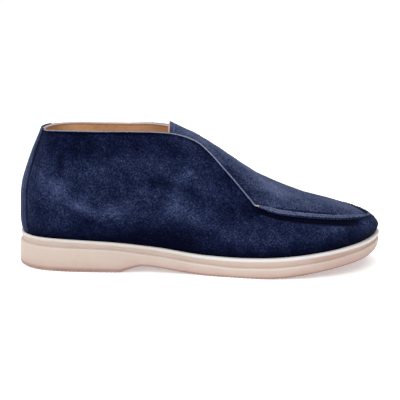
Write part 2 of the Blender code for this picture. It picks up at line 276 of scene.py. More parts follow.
def turnAround(share):
    # the turn at a share of the way round the outline
    share = np.mod(share, 1 + 1e-12)
    half = np.interp(2 * np.minimum(share, 1 - share), halfLengths, halfTurns)
    return np.where(share > 0.5, 2 * np.pi - half, half)


def shareAt(x):
    # the share of the way round of a place x on the outer side
    return np.interp(turnAt(x), halfTurns, halfLengths) / 2


def ripple(along, size, seed):
    # a gentle uneven wave along a seam, between -1 and 1
    total = 0
    for i in range(4):
        turns = along / size * (1 + 0.37 * i) * 2 * np.pi
        total = total + np.sin(turns + seed * (i + 1.7) * 2.3) / (1 + 0.5 * i)
    return total / 2.2


def spots(table, across, up):
    # each row is x, height (or y), reach, width (mm), lean in degrees and amount; gives where the points lie
    # along and off the spot in its own reach and width
    for x, z, reach, width, lean, amount in table:
        angle = np.radians(lean)
        dx, dz = across - x * mm, up - z * mm
        along = (dx * np.cos(angle) + dz * np.sin(angle)) / (reach * mm)
        off = (-dx * np.sin(angle) + dz * np.cos(angle)) / (width * mm)
        yield along, off, amount


def foldRelief(folds, across, up):
    # soft troughs (amount below 0, mm) and ridges, each with gentle shoulders
    return sum(depth * mm * (1 - 0.55 * off ** 2) * np.exp(-off ** 2 - 1.6 * along ** 2)
               for along, off, depth in spots(folds, across, up))


def patchTone(patches, across, up):
    # lighter and darker areas: random mottling of the nap, and painted shade in the troughs of folds with
    # painted highlight on their ridges
    return sum(amount * np.exp(-(off ** 2 + along ** 2) ** 1.3)
               for along, off, amount in spots(patches, across, up))


# making pieces
def gridPiece(name, sizes, form):
    # a flat grid whose points move to their place; form gives points and, if it wants, a tone
    bpy.ops.object.select_all(action="DESELECT")
    bpy.ops.mesh.primitive_grid_add(x_subdivisions=sizes["columns"], y_subdivisions=sizes["rows"], size=1)
    piece = bpy.context.object
    piece.name = piece.data.name = name
    mesh = piece.data
    flat = np.empty(len(mesh.vertices) * 3)
    mesh.vertices.foreach_get("co", flat)
    flat = flat.reshape(-1, 3)
    made = form(np.clip(flat[:, 0] + 0.5, 0, 1), np.clip(flat[:, 1] + 0.5, 0, 1))
    points, tone = made if isinstance(made, tuple) else (made, None)
    mesh.vertices.foreach_set("co", np.ascontiguousarray(points).ravel())
    if tone is not None:
        painted = mesh.attributes.new("tone", "FLOAT", "POINT").data
        painted.foreach_set("value", np.ascontiguousarray(tone, float))
    mesh.update()
    bpy.ops.object.mode_set(mode="EDIT")
    bpy.ops.mesh.select_all(action="SELECT")
    bpy.ops.mesh.remove_doubles(threshold=0.002 * mm)
    bpy.ops.mesh.dissolve_degenerate(threshold=0.001 * mm)
    bpy.ops.object.mode_set(mode="OBJECT")
    bpy.ops.object.shade_smooth()
    return piece


def thicken(piece, thickness, roundWidth=0.0):
    # gives a sheet its thickness, inwards, and rounds its rim
    bpy.context.view_layer.objects.active = piece
    wall = piece.modifiers.new("thickness", "SOLIDIFY")
    wall.thickness = thickness
    wall.offset = -1
    bpy.ops.object.modifier_apply(modifier=wall.name)
    if roundWidth:
        edge = piece.modifiers.new("edge", "BEVEL")
        edge.width = roundWidth
        edge.segments = 3
        edge.limit_method = "ANGLE"
        edge.angle_limit = np.radians(50)
        bpy.ops.object.modifier_apply(modifier=edge.name)
    smoothByAngle(piece, 50)


def smoothByAngle(piece, degrees):
    bpy.ops.object.select_all(action="DESELECT")
    piece.select_set(True)
    bpy.context.view_layer.objects.active = piece
    bpy.ops.object.shade_smooth_by_angle(angle=np.radians(degrees))


def turnOutwards(piece):
    # a closed shell whose faces point inwards is turned round
    mesh = piece.data
    mesh.calc_loop_triangles()
    corners = np.empty(len(mesh.vertices) * 3)
    mesh.vertices.foreach_get("co", corners)
    corners = corners.reshape(-1, 3)
    triangles = np.empty(len(mesh.loop_triangles) * 3, int)
    mesh.loop_triangles.foreach_get("vertices", triangles)
    a, b, c = (corners[triangles.reshape(-1, 3)[:, i]] for i in range(3))
    if np.sum(a * np.cross(b, c)) < 0:
        mesh.flip_normals()


def squared(wave, power):
    # a sine or cosine pushed out towards a rounded square
    return np.sign(wave) * np.abs(wave) ** power


def lineThrough(point, normal):
    # a line with its ways out, its ways along and the length up to each of its points
    steps = np.linalg.norm(np.diff(point, axis=0), axis=1)
    return point, normal, unit(np.gradient(point, axis=0)), np.concatenate([[0], np.cumsum(steps)])


def onLine(line, mark):
    # point, way out and way along at a length along the line
    point, out, way = (np.stack([np.interp(mark, line[3], rows[:, i]) for i in range(3)], axis=-1)
                       for rows in line[:3])
    return point, unit(out), unit(way)


def tubePiece(name, line, profile, sizes):
    # a closed profile carried along a line: it tells how far out and sideways each angle lies, and the tone
    def form(u, v):
        mark = u * line[3][-1]
        point, out, way = onLine(line, mark)
        fromEnd = np.minimum(mark, line[3][-1] - mark)
        outward, sideways, tone = profile(v * 2 * np.pi, mark, fromEnd, point)
        return point + out * outward[:, None] + unit(np.cross(out, way)) * sideways[:, None], tone
    piece = gridPiece(name, sizes, form)
    turnOutwards(piece)
    return piece


def addObject(name, data):
    made = bpy.data.objects.new(name, data)
    bpy.context.scene.collection.objects.link(made)
    return made


def meshPiece(name, points, faces, degrees):
    # a closed piece from its points and faces
    mesh = bpy.data.meshes.new(name)
    mesh.from_pydata([tuple(float(c) for c in point) for point in points], [], faces)
    mesh.update()
    piece = addObject(name, mesh)
    turnOutwards(piece)
    smoothByAngle(piece, degrees)
    return piece


def stitchPiece(name, places):
    # a short bead of thread at each place, given as a position, three ways and a size along each of them
    bpy.ops.object.select_all(action="DESELECT")
    bpy.ops.mesh.primitive_uv_sphere_add(segments=8, ring_count=6, radius=0.5, rotation=(0, np.pi / 2, 0))
    bpy.ops.object.transform_apply(location=True, rotation=True, scale=True)
    model = bpy.context.object
    base = np.array([vertex.co for vertex in model.data.vertices])
    faces = [tuple(face.vertices) for face in model.data.polygons]
    points, joined = [], []
    for i, (position, ways, sizes) in enumerate(places):
        points.append(base * np.array(sizes) @ np.array(ways) + position)
        joined.extend(tuple(corner + i * len(base) for corner in face) for face in faces)
    bpy.data.objects.remove(model, do_unlink=True)
    return meshPiece(name, np.concatenate(points), joined, 60)


def underEdge(below, turns, offset):
    # a line on the wall at a distance under its upper edge
    point, normal, _ = onLast(turns, riseAt(turns, lambda x: topEdge(x) - below))
    return lineThrough(point + normal * (wingLift(point) + offset)[:, None], normal)


def stitchPlaces(line, stitches):
    # places at even steps along a line; the lean turns each stitch across the line
    places = []
    for mark in np.arange(stitches["margin"], line[3][-1] - stitches["margin"], stitches["pitch"]):
        position, out, way = onLine(line, mark)
        way = way * np.cos(stitches["lean"]) + unit(np.cross(out, way)) * np.sin(stitches["lean"])
        places.append((position, (way, unit(np.cross(out, way)), out), stitches["size"]))
    return places


# materials
def addNode(tree, kind, inputs=None, **settings):
    node = tree.nodes.new("ShaderNode" + kind)
    for key, value in settings.items():
        setattr(node, key, value)
    for key, value in (inputs or {}).items():
        if isinstance(value, bpy.types.NodeSocket):
            tree.links.new(value, node.inputs[key])
        else:
            node.inputs[key].default_value = value
    return node


def startMaterial(name, sockets):
    # a new material, its tree and shader, and the piece's own coordinates
    material = bpy.data.materials.new(name)
    material.use_nodes = True
    tree = material.node_tree
    shader = tree.nodes["Principled BSDF"]
    for key, value in sockets.items():
        shader.inputs[key].default_value = value
    return material, tree, shader, addNode(tree, "TexCoord").outputs["Object"]


def finishMaterial(tree, shader, colour, height, strength, distance):
    # gives the shader its colour and a bump from the height
    bump = addNode(tree, "Bump", {"Height": height, "Strength": strength, "Distance": distance})
    tree.links.new(colour, shader.inputs["Base Color"])
    tree.links.new(bump.outputs[0], shader.inputs["Normal"])


def paintedTone(tree):
    return addNode(tree, "Attribute", attribute_name="tone").outputs["Fac"]


def noise(coords, size, detail=2.0, roughness=0.5, turn=(0, 0, 0), stretch=(1, 1, 1)):
    # noise whose lumps are about the given size across; stretch makes them longer along the turned axes
    tree = coords.id_data
    mapping = addNode(tree, "Mapping", {"Vector": coords, "Rotation": turn, "Scale": stretch},
                      vector_type="TEXTURE").outputs[0]
    return addNode(tree, "TexNoise", {"Vector": mapping, "Scale": 1 / size, "Detail": detail,
                                      "Roughness": roughness}).outputs[0]


def combine(operation, first, second):
    return addNode(first.id_data, "Math", {0: first, 1: second}, operation=operation).outputs[0]


def weighted(value, centre, amount):
    # (value - centre) * amount
    return combine("MULTIPLY", combine("SUBTRACT", value, centre), amount)


def mixed(share, first, second):
    return addNode(share.id_data, "Mix", {"Factor": share, 6: first, 7: second}, data_type="RGBA").outputs[2]


def rampColour(factor, stops):
    # stops are position, red, green and blue
    node = addNode(factor.id_data, "ValToRGB", {0: factor})
    elements = node.color_ramp.elements
    while len(elements) < len(stops):
        elements.new(0.5)
    for element, (position, *colour) in zip(elements, stops):
        element.position = position
        element.color = (*colour, 1)
    return node.outputs[0]


# nap: broad blotches, clouds, brushed streaks and fine flecks, with roughness, turn and stretch of each
napLayers = {
    "blotch": (0.55, (0, 0, 0), (1, 1, 1)),
    "cloud": (0.6, (0.3, 0.5, 0.2), (1.4, 1, 1)),
    "streak": (0.6, (0, np.radians(38), 0), (1.8, 1, 1)),
    "fleck": (0.7, (0, np.radians(-32), 0), (1.35, 1, 1)),
}


def suedeMaterial(name, look):
    # the nap's layers over the tone painted on the piece
    material, tree, shader, coords = startMaterial(name, {
        "Roughness": 0.95, "Specular IOR Level": 0.04, "Sheen Weight": look["sheen"],
        "Sheen Roughness": look["sheenRoughness"], "Sheen Tint": (*look["sheenTint"], 1)})
    value = paintedTone(tree)
    layers = {}
    for layer, shape in napLayers.items():
        size, amount = look[layer]
        layers[layer] = noise(coords, size, 3, *shape)
        value = combine("ADD", value, weighted(layers[layer], 0.5, amount))
    colour = rampColour(combine("ADD", value, 0.5), look["stops"])
    fine, brushed = combine("MULTIPLY", layers["fleck"], 0.6), combine("MULTIPLY", layers["streak"], 0.8)
    finishMaterial(tree, shader, colour, combine("ADD", fine, brushed), look["bump"], 0.6 * mm)
    return material


# each layer of the nap has its size and amount
suedeLook = {
    "stops": ((0.0, .0004, .0008, .007), (0.3, .003, .0056, .024), (0.5, .0076, .0124, .039),
              (0.75, .0225, .0315, .078), (1.0, .054, .069, .14)),
    "blotch": (34 * mm, 0.38), "cloud": (9 * mm, 0.5), "streak": (4.2 * mm, 0.45), "fleck": (1.0 * mm, 1.9),
    "bump": 0.45, "sheen": 0.05, "sheenRoughness": 0.4, "sheenTint": (.55, .68, 1.0),
}
# the apron is cut from the same suede as the wall: its lighter stops are painted light, for the light from
# above on its upturned face, and the bead takes them too
apronLitLook = dict(suedeLook, stops=(
    (0.0, .003, .005, .018), (0.3, .011, .0165, .046), (0.5, .0235, .033, .078),
    (0.75, .048, .062, .125), (1.0, .095, .113, .195)), fleck=(1.0 * mm, 2.4), sheen=0.09)
beadLook = dict(apronLitLook, blotch=(34 * mm, 0.25), streak=(4.2 * mm, 0.7), fleck=(0.9 * mm, 2.5), sheen=0.16,
                bump=1.0)
stayLook = dict(suedeLook, blotch=(34 * mm, 0.35), sheen=0.16)
suede = suedeMaterial("suede", suedeLook)
apronLitSuede = suedeMaterial("apron_suede", apronLitLook)
beadSuede = suedeMaterial("bead_suede", beadLook)
staySuede = suedeMaterial("stay_suede", stayLook)


def leatherMaterial(name, look):
    # smooth lining leather: pores, faint creasing and slight wear
    material, tree, shader, coords = startMaterial(name, {
        "Roughness": look["roughness"], "Specular IOR Level": 0.35})
    cells = addNode(tree, "TexVoronoi", {"Vector": coords, "Scale": 1 / look["grain"]},
                    feature="DISTANCE_TO_EDGE").outputs[0]
    patches = noise(coords, 22 * mm, 3, 0.6)
    fine = noise(coords, 1.6 * mm, 2, 0.6)
    value = combine("ADD", combine("ADD", patches, paintedTone(tree)), weighted(fine, 0.5, 0.5))
    height = combine("ADD", cells, combine("MULTIPLY", fine, 0.5))
    finishMaterial(tree, shader, rampColour(value, look["stops"]), height, look["bump"], 0.25 * mm)
    return material


liningLook = {"roughness": 0.55, "grain": 0.9 * mm, "bump": 0.3,
              "stops": ((0.25, .53, .27, .112), (0.5, .67, .37, .175), (0.75, .74, .45, .24))}
sockLook = dict(liningLook, roughness=0.5, stops=(
    (0.25, .42, .225, .105), (0.5, .54, .31, .155), (0.75, .62, .39, .215)))
lining = leatherMaterial("lining_leather", liningLook)
sockLeather = leatherMaterial("sock_leather", sockLook)


def bindingMaterial(name, stops):
    # bound edge: pale leather round the collar, brushed blue along the wings; tone runs 0 to 1
    material, tree, shader, coords = startMaterial(name, {
        "Roughness": 0.8, "Specular IOR Level": 0.2, "Sheen Weight": 0.2, "Sheen Roughness": 0.5,
        "Sheen Tint": (.8, .85, 1, 1)})
    fleck = noise(coords, 0.9 * mm, 2, 0.6)
    wear = noise(coords, 7 * mm, 3, 0.6)
    value = combine("ADD", paintedTone(tree), weighted(fleck, 0.5, 0.45))
    value = combine("ADD", value, weighted(wear, 0.5, 0.3))
    finishMaterial(tree, shader, rampColour(value, stops), fleck, 0.4, 0.3 * mm)
    return material


binding = bindingMaterial("edge_binding", (
    (0.0, .6, .32, .24), (0.14, .54, .34, .27), (0.32, .46, .38, .34), (0.55, .22, .23, .28),
    (0.8, .105, .128, .22), (1.0, .045, .06, .125)))


def threadMaterial(name, colour, shade):
    # twisted thread, darker between its plies
    material, tree, shader, coords = startMaterial(name, {"Roughness": 0.85, "Specular IOR Level": 0.1})
    ply = addNode(tree, "TexWave", {"Vector": coords, "Scale": 1 / (1.1 * mm), "Distortion": 1.5},
                  bands_direction="DIAGONAL").outputs[1]
    finishMaterial(tree, shader, rampColour(ply, ((0, *shade), (1, *colour))), ply, 0.5, 0.1 * mm)
    return material


creamThread = threadMaterial("cream_thread", (.62, .55, .48), (.4, .35, .31))
paleThread = threadMaterial("pale_thread", (.26, .29, .4), (.14, .16, .24))
navyThread = threadMaterial("navy_thread", (.018, .024, .055), (.008, .011, .03))
# the channel's stitches: dark thread darkened further by painted shade, as they lie in the shaded channel
# under the bead
channelThreadInShade = threadMaterial("channel_thread_in_shade", (.003, .005, .016), (.0012, .002, .008))
tanThread = threadMaterial("tan_thread", (.52, .33, .19), (.32, .18, .09))


def rubberMaterial(name, look):
    # light rubber, its colour running down the side of the sole with painted highlight and shade, with
    # moulding specks and faint scuffs
    material, tree, shader, coords = startMaterial(name, {"Roughness": 0.46, "Specular IOR Level": 0.35})
    down = addNode(tree, "SeparateXYZ", {0: addNode(tree, "UVMap").outputs[0]}).outputs[1]
    cloudy = noise(coords, 18 * mm, 3, 0.6)
    speck = noise(coords, 1.4 * mm, 3, 0.6)
    scuff = noise(coords, 3 * mm, 4, 0.7, (0, 0.1, 0), (5, 1, 1))
    shifted = combine("ADD", down, weighted(cloudy, 0.5, 0.012))
    lengthways = addNode(tree, "SeparateXYZ", {0: coords}).outputs[0]
    base = rampColour(shifted, look["heel"])
    for colours, (start, end) in ((look["ball"], look["heelToBall"]), (look["toe"], look["ballToToe"])):
        share = addNode(tree, "MapRange", {0: lengthways, 1: start, 2: end}, interpolation_type="SMOOTHSTEP")
        base = mixed(share.outputs[0], base, rampColour(shifted, colours))
    soil = addNode(tree, "MapRange", {0: scuff, 1: 0.6, 2: 0.8, 3: 0.0, 4: 0.35}).outputs[0]
    soiled = mixed(soil, base, (*look["soil"], 1))
    lighter = mixed(weighted(cloudy, 0.35, 0.5), soiled, (*look["pale"], 1))
    finishMaterial(tree, shader, lighter, speck, 0.12, 0.3 * mm)
    return material


# the sole; each row of its profile is v, spoke, share of the lip's and of the foot's inset, inset (mm),
# shares of the lip's, the groove's and the underside's height, rise (mm)
soleUnit = {
    "columns": 640, "rows": 100,
    "profile": (
        (0, 0, 0, 0, 7.3, 1, 0, 0, -5), (.09, 1, 0, 0, 7.3, 1, 0, 0, -5), (.1, 1, 0, 0, 4.25, 1, 0, 0, -5),
        (.15, 1, 0, 0, 4.2, 1, 0, 0, -.4), (.17, 1, 0, 0, 3.9, 1, 0, 0, 0), (.2, 1, 1, 0, .85, 1, 0, 0, 0),
        (.215, 1, 1, 0, .3, 1, 0, 0, -.12), (.23, 1, 1, 0, .02, 1, 0, 0, -.65),
        (.255, 1, 1, 0, 0, 1, 0, 0, -1.7), (.27, 1, 1, 0, .16, 1, 0, 0, -2.2),
        (.285, 1, 1, 0, .5, 1, 0, 0, -2.65), (.34, 1, 1, 0, .8, .5, .5, 0, 0),
        (.39, 1, 1, 0, 1.1, .14, .86, 0, .1), (.41, 1, 1, 0, 1.25, 0, 1, 0, .45),
        (.425, 1, .92, .03, 1.1, 0, 1, 0, .1), (.44, 1, .85, .1, .5, 0, 1, 0, -.05),
        (.46, 1, .66, .16, .1, 0, 1, 0, -.45), (.48, 1, .54, .2, -.15, 0, 1, 0, -1.1),
        (.52, 1, .4, .24, -.15, 0, .8, .2, 0), (.6, 1, .16, .36, 0, 0, .45, .55, 0),
        (.67, 1, 0, .58, 0, 0, .1, .9, .4), (.69, 1, 0, .72, 0, 0, 0, 1, .8),
        (.705, 1, 0, .88, .25, 0, 0, 1, .36), (.72, 1, 0, 1, .8, 0, 0, 1, .2),
        (.76, 1, 0, 1, 1.7, 0, 0, 1, .2), (.775, 1, 0, 1, 2.3, 0, 0, 1, 1.2), (1, 0, 0, 1, 5, 0, 0, 1, 1.2)),
    # v and colour, down the side at the heel, the ball and the toe: a pale lip, partly the rubber and partly
    # a painted highlight on its top; painted shade deepening down the hollow band; a painted highlight on the
    # ledge under it; painted shade darkening the body downwards into a dark line at its lower edge
    "heel": (
        (0, .522, .486, .459), (.19, .558, .54, .522), (.222, .567, .549, .531), (.245, .517, .45, .401),
        (.275, .495, .41, .36), (.31, .473, .378, .329), (.4, .436, .333, .288), (.425, .459, .36, .31),
        (.45, .495, .414, .365), (.5, .473, .387, .333), (.58, .464, .369, .315), (.645, .432, .315, .27),
        (.672, .24, .14, .115), (.74, .38, .247, .209), (1, .38, .266, .218)),
    "ball": (
        (0, .522, .486, .459), (.19, .576, .558, .549), (.222, .63, .621, .617), (.27, .594, .572, .558),
        (.292, .522, .45, .401), (.33, .482, .378, .322), (.4, .446, .312, .262), (.425, .477, .378, .329),
        (.45, .54, .477, .432), (.5, .491, .405, .351), (.58, .459, .338, .288), (.645, .4, .262, .22),
        (.672, .22, .12, .098), (.74, .38, .247, .209), (1, .38, .266, .218)),
    "toe": (
        (0, .522, .486, .459), (.19, .558, .54, .531), (.222, .594, .581, .572), (.256, .567, .54, .526),
        (.276, .455, .345, .3), (.33, .4, .268, .228), (.4, .355, .218, .186), (.425, .4, .285, .244),
        (.45, .468, .373, .32), (.5, .441, .333, .288), (.58, .41, .275, .234), (.64, .378, .245, .208),
        (.665, .2, .095, .078), (.74, .38, .247, .209), (1, .38, .266, .218)),
    "heelToBall": (-38 * mm, 22 * mm), "ballToToe": (66 * mm, 104 * mm),
    "soil": (.36, .26, .21), "pale": (.6, .54, .49),
}
soleMarks, *soleColumns = np.transpose(soleUnit["profile"])
spoke, lipShare, footShare, sideInset, lipPart, groovePart, underPart, sideRise = (
    curveThrough(soleMarks, values) for values in soleColumns)


def soleForm(u, v):
    turn = turnAround(u)
    centreX, centreY, _, _ = plan(turn)
    bellyX, _ = insetEdge(turn, shoe["bellyInset"])
    levelX = centreX + (bellyX - centreX) * spoke(v)
    inset = lipShare(v) * lipInset(bellyX) + footShare(v) * footInset(bellyX) + sideInset(v) * mm
    x, y = insetEdge(turn, inset)
    lip = lipHeight(levelX)
    groove = lip - grooveDrop(levelX)
    z = lipPart(v) * lip + groovePart(v) * groove + underPart(v) * underside(levelX) + sideRise(v) * mm
    return np.stack([centreX + (x - centreX) * spoke(v), centreY + (y - centreY) * spoke(v), z], axis=-1)


rubber = rubberMaterial("rubber", soleUnit)
sole = gridPiece("soleUnit", soleUnit, soleForm)
turnOutwards(sole)
smoothByAngle(sole, 60)
sole.data.materials.append(rubber)
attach(sole, "root")
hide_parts("outsole")

# ribs from place to place along the sole (shares of its length), with none under the arch
treadRibs = {
    "start": 0.035, "heelEnd": 0.288, "frontStart": 0.47, "end": 0.965, "pitch": 3.2 * mm, "width": 1.7 * mm,
    "foot": 0.8, "inset": 0.7 * mm, "wave": 1.3 * mm, "waves": 3, "steps": 34, "base": 1.5 * mm,
}


def edgeAcross(x, inset):
    # y of the sole's outer and inner edge at a place x, moved in
    turn = turnAt(x)
    edges = []
    for side in (turn, 2 * np.pi - turn):
        turns = side + np.linspace(-0.25, 0.25, 61)
        edgeX, edgeY = insetEdge(turns, inset + footInset(x))
        order = np.argsort(edgeX)
        edges.append(np.interp(x, edgeX[order], edgeY[order]))
    return edges


def makeTread():
    # wavy ribs across the heel block and the forepart, each a low bar with a flat foot
    half, base = treadRibs["width"] / 2, treadRibs["base"]
    foot = half * treadRibs["foot"]
    share = np.linspace(0, 1, treadRibs["steps"])
    sway = treadRibs["wave"] * np.sin(share * treadRibs["waves"] * 2 * np.pi) * np.sin(share * np.pi) ** 0.5
    points, faces = [], []
    for x in np.arange(placeAt(treadRibs["start"]), placeAt(treadRibs["end"]), treadRibs["pitch"]):
        if placeAt(treadRibs["heelEnd"]) - 3 * mm <= x <= placeAt(treadRibs["frontStart"]):
            continue
        outerY, innerY = edgeAcross(x, treadRibs["inset"])
        start = len(points)
        for middle, y in zip(x + sway, outerY + (innerY - outerY) * share):
            for dx, rise in ((-half, base), (-foot, 0), (foot, 0), (half, base)):
                points.append((middle + dx, y, underside(middle + dx) + rise))
        for a in range(start, len(points) - 4, 4):
            faces += [(a + j, a + (j + 1) % 4, a + 4 + (j + 1) % 4, a + 4 + j) for j in range(4)]
        faces += [(start + 3, start + 2, start + 1, start), tuple(range(len(points) - 4, len(points)))]
    return meshPiece("treadRibs", points, faces, 30)


treadLook = {"roughness": 0.6, "grain": 1.2 * mm, "bump": 0.3,
             "stops": ((0.25, .36, .21, .17), (0.5, .46, .29, .24), (0.75, .54, .36, .3))}
tread = makeTread()
tread.data.materials.append(leatherMaterial("tread_rubber", treadLook))
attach(tread, "root")
print("sole made")

# the sock lining
sockLining = {
    "columns": 280, "rows": 44, "thickness": 3.6 * mm, "crown": 1.4 * mm, "round": 0.9 * mm,
    "stitches": {"inset": 3.2 * mm, "pitch": 3.4 * mm, "lean": 0, "margin": 0,
                 "size": (2.3 * mm, 0.6 * mm, 0.5 * mm)},
}


def cupFloor(x):
    return lipHeight(x) - shoe["cupDepth"] + shoe["gap"]


def sockForm(u, v):
    # v runs from the middle of the top to its rim at 0.5, down to 0.6 and back to the middle of the underside
    turn = turnAround(u)
    centreX, centreY, _, _ = plan(turn)
    edgeX, edgeY = insetEdge(turn, shoe["insoleInset"])
    top = v < 0.6
    share = np.where(top, np.minimum(v / 0.5, 1), np.clip((1 - v) / 0.35, 0, 1))
    x = centreX + (edgeX - centreX) * share
    y = centreY + (edgeY - centreY) * share
    drop = sockLining["round"] * np.clip((v - 0.42) / 0.08, 0, 1) ** 2
    dish = sockLining["crown"] * (share ** 4 - 0.3) * 0.5
    return np.stack([x, y, cupFloor(x) + np.where(top, sockLining["thickness"] - drop + dish, 0)], axis=-1)


sock = gridPiece("sockLining", sockLining, sockForm)
turnOutwards(sock)
smoothByAngle(sock, 55)
sock.data.materials.append(sockLeather)
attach(sock, "root")
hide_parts("insole")


def sockLine():
    # the stitch line on the sock's top, inside its rim
    inset = shoe["insoleInset"] + sockLining["stitches"]["inset"]
    x, y = insetEdge(np.linspace(0, 2 * np.pi, 1200), inset)
    z = cupFloor(x) + sockLining["thickness"] + sockLining["crown"] * 0.5 * 0.35 + 0.05 * mm
    return lineThrough(np.stack([x, y, z], axis=-1), np.tile((0.0, 0.0, 1.0), (len(x), 1)))


sockStitches = stitchPiece("sockStitches", stitchPlaces(sockLine(), sockLining["stitches"]))
sockStitches.data.materials.append(tanThread)
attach(sockStitches, "root")
print("sock lining made")

# side wall and quarters; folds and patches are x, z, reach, width (mm), lean in degrees, depth (mm) or tone
upperWall = {
    "columns": 480, "rows": 84, "footRows": 0.12,
    "outerFolds": (
        (-107, 86, 11, 3.2, 84, -.55), (-97, 72, 14, 4.5, -24, -.35), (-113, 68, 12, 7, -30, .55),
        (-88, 54, 15, 6, -28, .6), (-64, 52, 13, 5, 12, .55), (-76, 44, 16, 4, -18, -.45),
        (-30, 71, 24, 3.6, -15, -.7), (-16, 77, 14, 5, -20, .45), (-40, 62, 18, 5, -10, .35),
        (-14, 46, 14, 7, -48, .55), (-4, 58, 9, 4.5, -38, .45), (-24, 58, 14, 3.4, -42, -.45),
        (8, 50, 15, 4.2, -50, -.5), (24, 66, 10, 4, -52, -.5), (33, 55, 6, 1.7, -35, -.45),
        (38, 50, 6, 1.5, -22, -.42), (30, 49, 8, 2.2, -48, .4), (44, 44, 9, 2.4, -18, -.35),
        (58, 34, 16, 5, 8, .45), (86, 32, 18, 5, 6, .3), (30, 33, 14, 5, -30, .4),
        (10, 33, 14, 4, -35, -.4), (-58, 92, 20, 7, 8, .3), (-80, 84, 16, 5, -12, -.3),
        (-120, 44, 14, 5, -12, -.4), (-44, 40, 18, 5, 4, -.35), (-122, 58, 9, 4, 62, .35)),
    "innerFolds": (
        (-106, 84, 12, 3.4, 84, -.5), (-90, 56, 18, 6, -20, .55), (-60, 50, 14, 5, 14, .45),
        (-34, 72, 24, 4, -12, -.6), (-10, 50, 15, 6, -45, .5), (12, 50, 14, 4.4, -48, -.5),
        (33, 54, 6, 1.8, -32, -.45), (39, 49, 6, 1.5, -20, -.4), (60, 33, 18, 5, 6, .4),
        (-70, 84, 20, 6, 10, .35), (-74, 42, 18, 4.5, -14, -.4), (26, 64, 10, 4, -50, -.45)),
    # many patches lie on the folds above: painted shade on troughs, painted highlight on ridges; the rest is
    # mottled nap
    "outerPatches": (
        (-112, 67, 12, 8, -28, .22), (-97, 61, 5, 6, -50, -.2), (-108, 56, 5, 6, 0, .12),
        (-96, 57, 9, 6, -40, .22), (-85, 48, 13, 6, -25, .16), (-90, 36, 11, 5, -10, -.15),
        (-118, 82, 9, 6, 60, .1), (-106, 84, 8, 3.2, 86, -.24), (-66, 48, 11, 6, 10, .18),
        (-88, 41, 14, 5, -16, -.2), (-60, 63, 12, 6, -10, -.16), (-33, 57, 6, 8, 0, -.1),
        (-50, 42, 6, 4, 20, .08), (-60, 76, 12, 7, 10, -.12), (-30, 71, 18, 5.5, -10, -.22),
        (-13, 75, 8, 4, 20, .2), (-18, 53, 9, 6, -60, .26), (-6, 44, 10, 5.5, -30, .2),
        (-6, 62, 9, 3.4, -50, -.2), (22, 70, 8, 5, -50, -.2), (36, 52, 8, 5, -35, -.24),
        (20, 48, 9, 8, -60, -.28), (28, 60, 7, 4, -50, .12), (-50, 96, 26, 9, 0, .02),
        (-75, 92, 20, 8, 0, -.06), (-100, 98, 14, 6, 0, -.06), (-13, 103, 17, 6, -14, .3),
        (-5, 93, 18, 9, -25, .16), (-119, 98, 8, 5, 70, .14), (38, 35, 12, 6, -20, -.06),
        (14, 32, 10, 6, -10, -.08), (-32, 26, 28, 6, -5, -.28), (62, 32, 16, 6, 6, .06),
        (96, 34, 16, 5, 4, .1), (98, 40, 18, 5, -8, .18), (128, 33, 10, 7, 0, .16),
        (-122, 46, 10, 6, -30, -.14), (-40, 36, 44, 6, -4, -.22), (-10, 30, 26, 6, -6, -.2)),
    "innerPatches": (
        (-100, 62, 16, 9, -20, .24), (-64, 50, 12, 6, 12, .22), (-32, 72, 22, 6, -14, -.22),
        (-12, 48, 14, 8, -46, .22), (24, 66, 7, 5, -46, -.22), (60, 32, 18, 6, 4, .12),
        (-60, 94, 24, 9, 4, .06), (-56, 34, 40, 7, 2, -.2), (34, 52, 8, 5, -35, -.22)),
    "tuck": 1.3 * mm, "tuckBelow": 3.6,       # how far the wall sinks in under the bead, and where (mm)
    "toeBulge": 1.5 * mm, "wave": 0.16 * mm,
}
wallTop = riseTable(lambda x: topEdge(x) - 0.6 * mm)


def bothSides(effect, spotKind, point):
    # what the folds or the patches of the outer and of the inner side do at each point
    x, z = point[..., 0], point[..., 2]
    return bySide(point, *(effect(upperWall[side + spotKind], x, z) for side in ("outer", "inner")))


def heights(point):
    # place along the shoe, height above the sole's lip and depth under the edge line, in mm
    x, z = point[..., 0], point[..., 2]
    return x / mm, (z - lipHeight(x)) / mm, (topEdge(x) - z) / mm


def softWaves(point):
    # slow unevenness of worn-in suede
    x, y, z = (point[..., i] / mm for i in range(3))
    waves = np.sin(x / 9.3 + z / 13.1 + y / 21) + np.sin(x / 15.7 - z / 8.9 + 1.3)
    return upperWall["wave"] * (waves + 0.7 * np.sin(x / 6.1 + z / 7.7 + 2.1))


def beadAmount(point):
    return ramp(point[..., 0], throatX - 3 * mm, throatX + 16 * mm)


def wallTuck(point):
    # the channel under the bead, sharper below than above and weaker at the toe
    x, _, drop = heights(point)
    off = drop - upperWall["tuckBelow"]
    groove = np.where(off < 0, 0.5 + 0.5 * np.exp(-(off / 1.1) ** 2), np.exp(-(off / 1.7) ** 2))
    return upperWall["tuck"] * groove * beadAmount(point) * (1 - 0.45 * ramp(x, 112, 138))


def wallRelief(point):
    # folds, waves, the full toe and the channel under the bead
    x, climb, drop = heights(point)
    free = ramp(climb, 1, 9) * (1 - 0.8 * ramp(drop, 9, 1))
    toe = upperWall["toeBulge"] * ramp(x, 118, 138) * np.exp(-((climb - 10) / 7) ** 2)
    return (bothSides(foldRelief, "Folds", point) + softWaves(point)) * free + toe - wallTuck(point)


